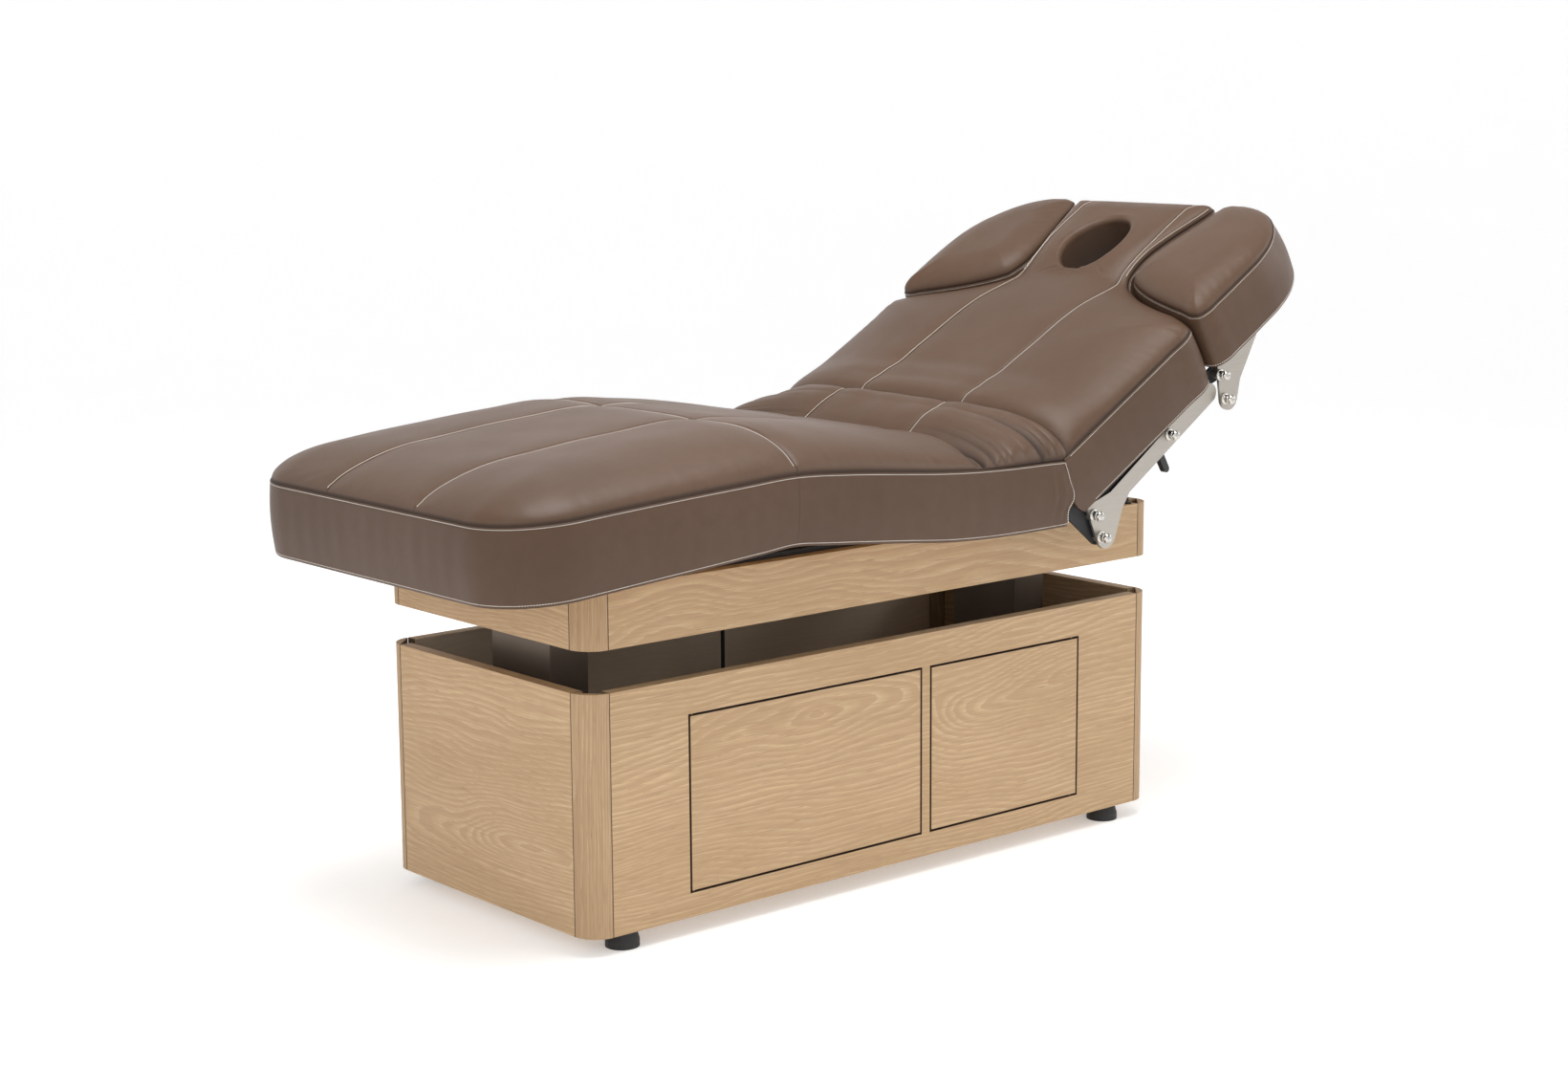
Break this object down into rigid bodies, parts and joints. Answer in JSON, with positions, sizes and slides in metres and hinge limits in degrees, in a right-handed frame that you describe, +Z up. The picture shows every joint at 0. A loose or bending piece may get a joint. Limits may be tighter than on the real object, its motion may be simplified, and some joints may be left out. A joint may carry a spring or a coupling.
{
  "type": "spa treatment table",
  "caption": "Padded spa table in jointed sections with a face hole and arm rests, on a powered lift over a wooden cabinet with two doors.",
  "frame": {"origin": "centre of the whole table's box at floor level", "axes": "+X from the foot end to the head end, +Y from the door side to the far side, +Z up"},
  "size_m": [1.9756, 0.854, 1.2075],
  "materials": {
    "leather": "smooth upholstery leather, satin",
    "plywood": "raw birch plywood",
    "oak": "light oak with open grain, matt lacquer",
    "black_rubber": "matt black rubber",
    "dark_steel": "dark bronze-grey painted steel",
    "black_plastic": "matt black plastic",
    "brushed_steel": "brushed steel plate",
    "frame_steel": "black powder-coated steel"
  },
  "bodies": {
    "base": {"cabinet_near_panel": "oak", "cabinet_far_panel": "oak", "cabinet_foot_end": "oak", "cabinet_head_end": "oak", "cabinet_floor": "plywood", "foot_pad_foot_end_near": "black_rubber", "foot_pad_foot_end_far": "black_rubber", "foot_pad_head_end_near": "black_rubber", "foot_pad_head_end_far": "black_rubber", "hand_block": "oak", "column_tube_foot": "dark_steel", "column_tube_head": "dark_steel", "control_box": "black_plastic"},
    "large_door": {"large_door": "oak"},
    "small_door": {"small_door": "oak"},
    "lift": {"column_sleeve_foot": "dark_steel", "column_sleeve_head": "dark_steel", "lift_cable": "black_rubber", "frame_near_rail": "oak", "frame_far_rail": "oak", "frame_foot_end": "oak", "frame_head_end": "oak", "subframe_rail_near": "frame_steel", "subframe_rail_far": "frame_steel", "subframe_cross_foot": "frame_steel", "subframe_cross_mid": "frame_steel", "subframe_cross_head": "frame_steel", "frame_stop_near": "black_rubber", "frame_stop_far": "black_rubber", "seat_cushion": "leather", "seat_deck": "plywood", "seat_hinge_leaf": "frame_steel", "seat_bracket_near": "brushed_steel", "seat_bracket_far": "brushed_steel"},
    "thigh": {"thigh_cushion": "leather", "thigh_deck": "plywood", "thigh_hinge_leaf": "frame_steel", "thigh_knee_leaf": "frame_steel", "thigh_lug": "frame_steel"},
    "leg": {"leg_cushion": "leather", "leg_deck": "plywood", "leg_hinge_leaf": "frame_steel"},
    "back": {"back_cushion": "leather", "back_deck": "plywood", "back_side_frame_near": "frame_steel", "back_side_frame_far": "frame_steel", "side_bar_near": "brushed_steel", "side_bar_far": "brushed_steel", "back_lug": "frame_steel"},
    "lever": {"release_lever": "black_plastic"},
    "head": {"head_cushion": "leather", "head_board": "plywood", "arm_rest_near": "leather", "arm_rest_far": "leather", "head_plate_near": "brushed_steel", "head_plate_far": "brushed_steel"},
    "spring_tube": {"gas_spring_tube": "frame_steel"},
    "spring_rod": {"gas_spring_rod": "brushed_steel"},
    "actuator_tube": {"thigh_actuator_tube": "frame_steel"},
    "actuator_rod": {"thigh_actuator_rod": "brushed_steel"}
  },
  "joints": [
    {"name": "lift_slide", "type": "slide", "parent": "base", "child": "lift", "axis": [0, 0, 1], "range_m": [-0.07, 0.25], "deforming": ["lift_cable"]},
    {"name": "large_door_hinge", "type": "hinge", "parent": "base", "child": "large_door", "pos_m": [-0.5396, -0.296, 0.2335], "axis": [0, 0, -1], "range_deg": [0, 100]},
    {"name": "small_door_hinge", "type": "hinge", "parent": "base", "child": "small_door", "pos_m": [0.3934, -0.296, 0.2335], "axis": [0, 0, 1], "range_deg": [0, 100]},
    {"name": "thigh_hinge", "type": "hinge", "parent": "lift", "child": "thigh", "pos_m": [0.0314, 0, 0.634], "axis": [0, 1, 0], "range_deg": [-5.6, 6.4]},
    {"name": "knee_hinge", "type": "hinge", "parent": "thigh", "child": "leg", "pos_m": [-0.39018, 0, 0.67534], "axis": [0, 1, 0], "range_deg": [-11.1, 9.7]},
    {"name": "back_hinge", "type": "hinge", "parent": "lift", "child": "back", "pos_m": [0.251, 0, 0.697], "axis": [0, -1, 0], "range_deg": [-31, 29]},
    {"name": "head_hinge", "type": "hinge", "parent": "back", "child": "head", "pos_m": [0.68889, 0, 0.88078], "axis": [0, -1, 0], "range_deg": [-35, 0]},
    {"name": "lever_hinge", "type": "hinge", "parent": "back", "child": "lever", "pos_m": [0.53856, -0.363, 0.77178], "axis": [0, -1, 0], "range_deg": [0, 20], "stiffness_Nm_per_rad": 0.6, "springref_deg": -8.59},
    {"name": "gas_spring_swing", "type": "hinge", "parent": "lift", "child": "spring_tube", "pos_m": [0.2754, 0.15, 0.594], "axis": [0, -1, 0], "range_deg": [-27.1, 25.4]},
    {"name": "gas_spring_extension", "type": "slide", "parent": "spring_tube", "child": "spring_rod", "axis": [0.8249, 0, 0.5652], "range_m": [-0.0529, 0.0495]},
    {"name": "thigh_actuator_swing", "type": "hinge", "parent": "lift", "child": "actuator_tube", "pos_m": [0.0914, 0, 0.559], "axis": [0, 1, 0], "range_deg": [-4.3, 4.9]},
    {"name": "thigh_actuator_extension", "type": "slide", "parent": "actuator_tube", "child": "actuator_rod", "axis": [-0.9624, 0, 0.2715], "range_m": [-0.0055, 0.0063]}
  ],
  "couplings": [
    {"joint": "knee_hinge", "follows": "thigh_hinge", "ratio": -1.716},
    {"joint": "thigh_actuator_swing", "follows": "thigh_hinge", "ratio": 0.757},
    {"joint": "thigh_actuator_extension", "follows": "thigh_hinge", "m_per_rad": 0.05544},
    {"joint": "gas_spring_swing", "follows": "back_hinge", "ratio": 0.8716},
    {"joint": "gas_spring_extension", "follows": "back_hinge", "m_per_rad": 0.09761}
  ]
}
